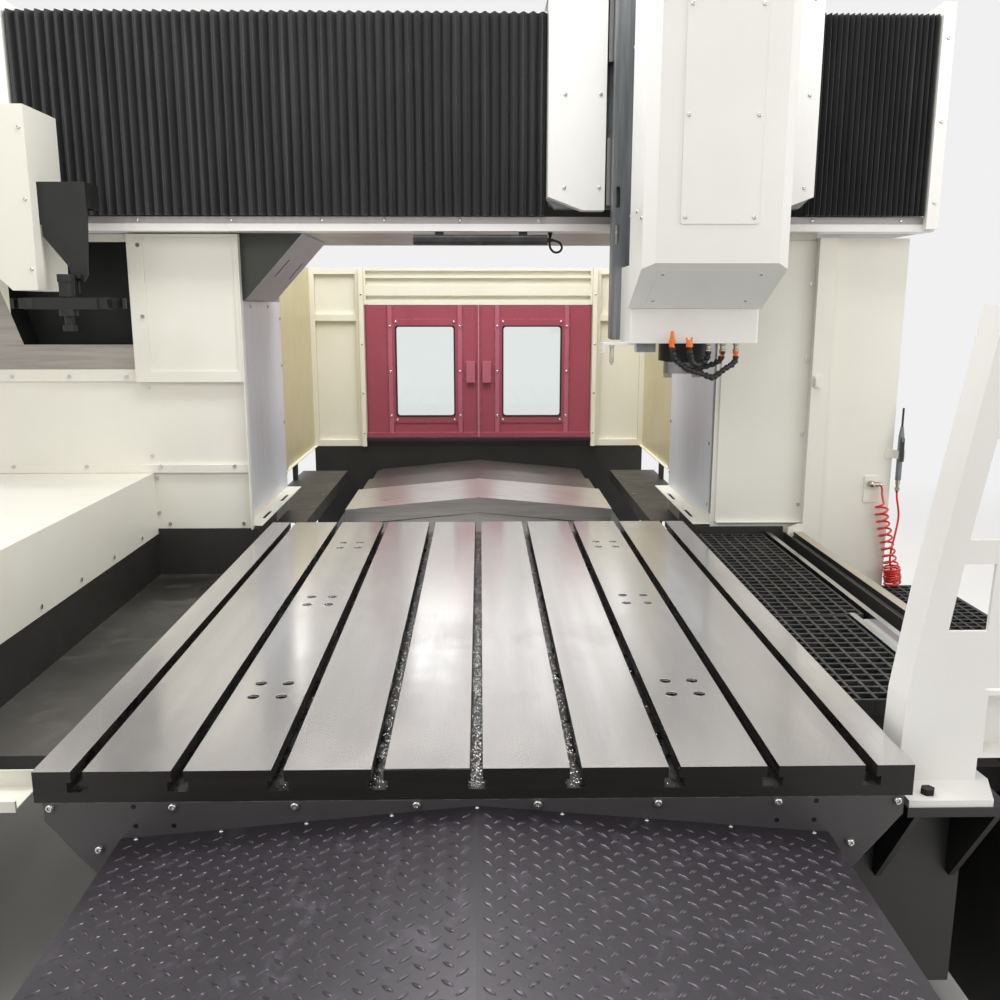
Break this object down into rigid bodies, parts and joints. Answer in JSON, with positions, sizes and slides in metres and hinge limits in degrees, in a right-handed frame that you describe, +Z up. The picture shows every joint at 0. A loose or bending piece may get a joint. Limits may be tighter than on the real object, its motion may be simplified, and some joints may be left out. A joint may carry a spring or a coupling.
{
  "type": "gantry machining centre",
  "caption": "Bridge type machining centre: slotted table travelling on a long bed under a fixed gantry that carries a saddle, a vertical spindle head and a tool changer.",
  "frame": {"origin": "on the floor at the middle of the whole machine, under the spindle's line of travel", "axes": "+X to the right across the table as the loader sees it, +Y to the rear along the bed, +Z up"},
  "size_m": [3.652, 5.864, 3.49],
  "materials": {
    "cast_machined": "ground top, machined slots, oiled",
    "cast_painted": "painted casting",
    "cream_sheet": "cream powder coat, fine texture",
    "white_sheet": "white powder coat",
    "dark_sheet": "dark grey paint, satin",
    "black_sheet": "black paint, matte",
    "red_sheet": "crimson paint, satin",
    "stainless": "brushed stainless sheet",
    "steel": "ground steel",
    "bright_screws": "bright plated",
    "aluminium": "satin",
    "bellows_black": "coated cloth",
    "black_plastic": "moulded",
    "red_plastic": "translucent red tube",
    "grey_plastic": "moulded",
    "glass": "clear pane"
  },
  "bodies": {
    "frame": {"air_gun": "grey_plastic", "air_hose": "red_plastic", "beam_covers": "white_sheet", "bed_casting": "cast_painted", "changer_bracket": "dark_sheet", "changer_lining": "black_sheet", "chip_pans": "black_sheet", "column_liners": "stainless", "cover_screws": "bright_screws", "crossbeam": "cast_painted", "edge_rails": "stainless", "fixed_end_covers": "stainless", "floor_gratings": "black_plastic", "front_frame": "white_sheet", "hose_bracket": "bright_screws", "lamp_lead": "black_plastic", "left_column": "cast_painted", "left_front_wall": "cream_sheet", "levelling_feet": "steel", "magazine_shroud": "cream_sheet", "magazine_stand": "cast_painted", "rails_and_screws": "steel", "rear_sill": "black_sheet", "rear_wall": "cream_sheet", "right_column": "cast_painted", "right_wall": "cream_sheet", "side_sill": "cream_sheet", "work_lamp": "black_sheet"},
    "table": {"table": "cast_machined", "table_end_plates": "dark_sheet", "table_carriages": "steel", "table_end_covers": "stainless"},
    "front_cover_2": {"front_cover_2": "stainless"},
    "front_cover_3": {"front_cover_3": "stainless"},
    "front_cover_4": {"front_cover_4": "stainless"},
    "rear_cover_1": {"rear_cover_1": "stainless"},
    "rear_cover_2": {"rear_cover_2": "stainless"},
    "rear_cover_3": {"rear_cover_3": "stainless"},
    "rear_cover_low": {"rear_cover_low": "stainless"},
    "saddle": {"saddle": "cast_painted", "saddle_carriages": "steel", "saddle_covers": "white_sheet", "left_bellows": "bellows_black", "right_bellows": "bellows_black"},
    "head": {"headstock": "cast_painted", "head_cover": "white_sheet", "lower_head_cover": "white_sheet", "spindle_cartridge": "steel", "head_motors": "black_sheet", "coolant_hoses": "black_plastic", "head_fittings": "bright_screws"},
    "spindle": {"spindle_rotor": "steel"},
    "head_screw": {"head_screw": "steel"},
    "changer_arm": {"changer_arm": "aluminium"},
    "magazine_wheel": {"magazine_wheel": "aluminium"},
    "left_door": {"left_rear_door": "red_sheet", "left_door_window": "glass"},
    "right_door": {"right_rear_door": "red_sheet", "right_door_window": "glass"},
    "gun_trigger": {"gun_trigger": "grey_plastic"}
  },
  "joints": [
    {"name": "table_slide", "type": "slide", "parent": "frame", "child": "table", "axis": [0, 1, 0], "range_m": [-0.366, 1.834]},
    {"name": "front_cover_2_slide", "type": "slide", "parent": "frame", "child": "front_cover_2", "axis": [0, 1, 0], "range_m": [-0.2761, 1.3815]},
    {"name": "front_cover_3_slide", "type": "slide", "parent": "frame", "child": "front_cover_3", "axis": [0, 1, 0], "range_m": [-0.1857, 0.9285]},
    {"name": "front_cover_4_slide", "type": "slide", "parent": "frame", "child": "front_cover_4", "axis": [0, 1, 0], "range_m": [-0.0953, 0.4755]},
    {"name": "rear_cover_1_slide", "type": "slide", "parent": "frame", "child": "rear_cover_1", "axis": [0, 1, 0], "range_m": [-0.206, 1.0305]},
    {"name": "rear_cover_2_slide", "type": "slide", "parent": "frame", "child": "rear_cover_2", "axis": [0, 1, 0], "range_m": [-0.1202, 0.6002]},
    {"name": "rear_cover_3_slide", "type": "slide", "parent": "frame", "child": "rear_cover_3", "axis": [0, 1, 0], "range_m": [-0.0323, 0.1601]},
    {"name": "rear_cover_low_slide", "type": "slide", "parent": "frame", "child": "rear_cover_low", "axis": [0, 1, 0], "range_m": [-0.2896, 1.4494]},
    {"name": "saddle_slide", "type": "slide", "parent": "frame", "child": "saddle", "axis": [1, 0, 0], "range_m": [-1.6, 0.2], "deforming": ["left_bellows", "right_bellows"]},
    {"name": "head_slide", "type": "slide", "parent": "saddle", "child": "head", "axis": [0, 0, 1], "range_m": [-0.5, 0.3]},
    {"name": "spindle_turn", "type": "hinge", "parent": "head", "child": "spindle", "pos_m": [0.704, 0, 1.6], "axis": [0, 0, 1], "continuous": true},
    {"name": "head_screw_turn", "type": "hinge", "parent": "head", "child": "head_screw", "pos_m": [0.704, 0.14, 2.4], "axis": [0, 0, 1], "range_deg": [-9005, 5405]},
    {"name": "changer_swing", "type": "hinge", "parent": "frame", "child": "changer_arm", "pos_m": [-1.357, -0.046, 1.73], "axis": [0, 0, 1], "range_deg": [-90, 180]},
    {"name": "magazine_spin", "type": "hinge", "parent": "frame", "child": "magazine_wheel", "pos_m": [-1.43, 0.965, 1.5], "axis": [1, 0, 0], "continuous": true},
    {"name": "left_door_hinge", "type": "hinge", "parent": "frame", "child": "left_door", "pos_m": [-0.688, 2.918, 1.3], "axis": [0, 0, 1], "range_deg": [0, 95]},
    {"name": "right_door_hinge", "type": "hinge", "parent": "frame", "child": "right_door", "pos_m": [0.688, 2.918, 1.3], "axis": [0, 0, 1], "range_deg": [-95, 0]},
    {"name": "trigger_press", "type": "hinge", "parent": "frame", "child": "gun_trigger", "pos_m": [1.62, 0.308, 1.223], "axis": [1, 0, 0], "range_deg": [0, 5], "stiffness_Nm_per_rad": 0.05, "springref_deg": -9.74}
  ],
  "couplings": [
    {"joint": "front_cover_2_slide", "follows": "table_slide", "ratio": 0.753},
    {"joint": "front_cover_3_slide", "follows": "table_slide", "ratio": 0.506},
    {"joint": "front_cover_4_slide", "follows": "table_slide", "ratio": 0.259},
    {"joint": "rear_cover_1_slide", "follows": "table_slide", "ratio": 0.5616},
    {"joint": "rear_cover_2_slide", "follows": "table_slide", "ratio": 0.327},
    {"joint": "rear_cover_3_slide", "follows": "table_slide", "ratio": 0.087},
    {"joint": "rear_cover_low_slide", "follows": "table_slide", "ratio": 0.79},
    {"joint": "head_screw_turn", "follows": "head_slide", "rad_per_m": 314.16}
  ]
}
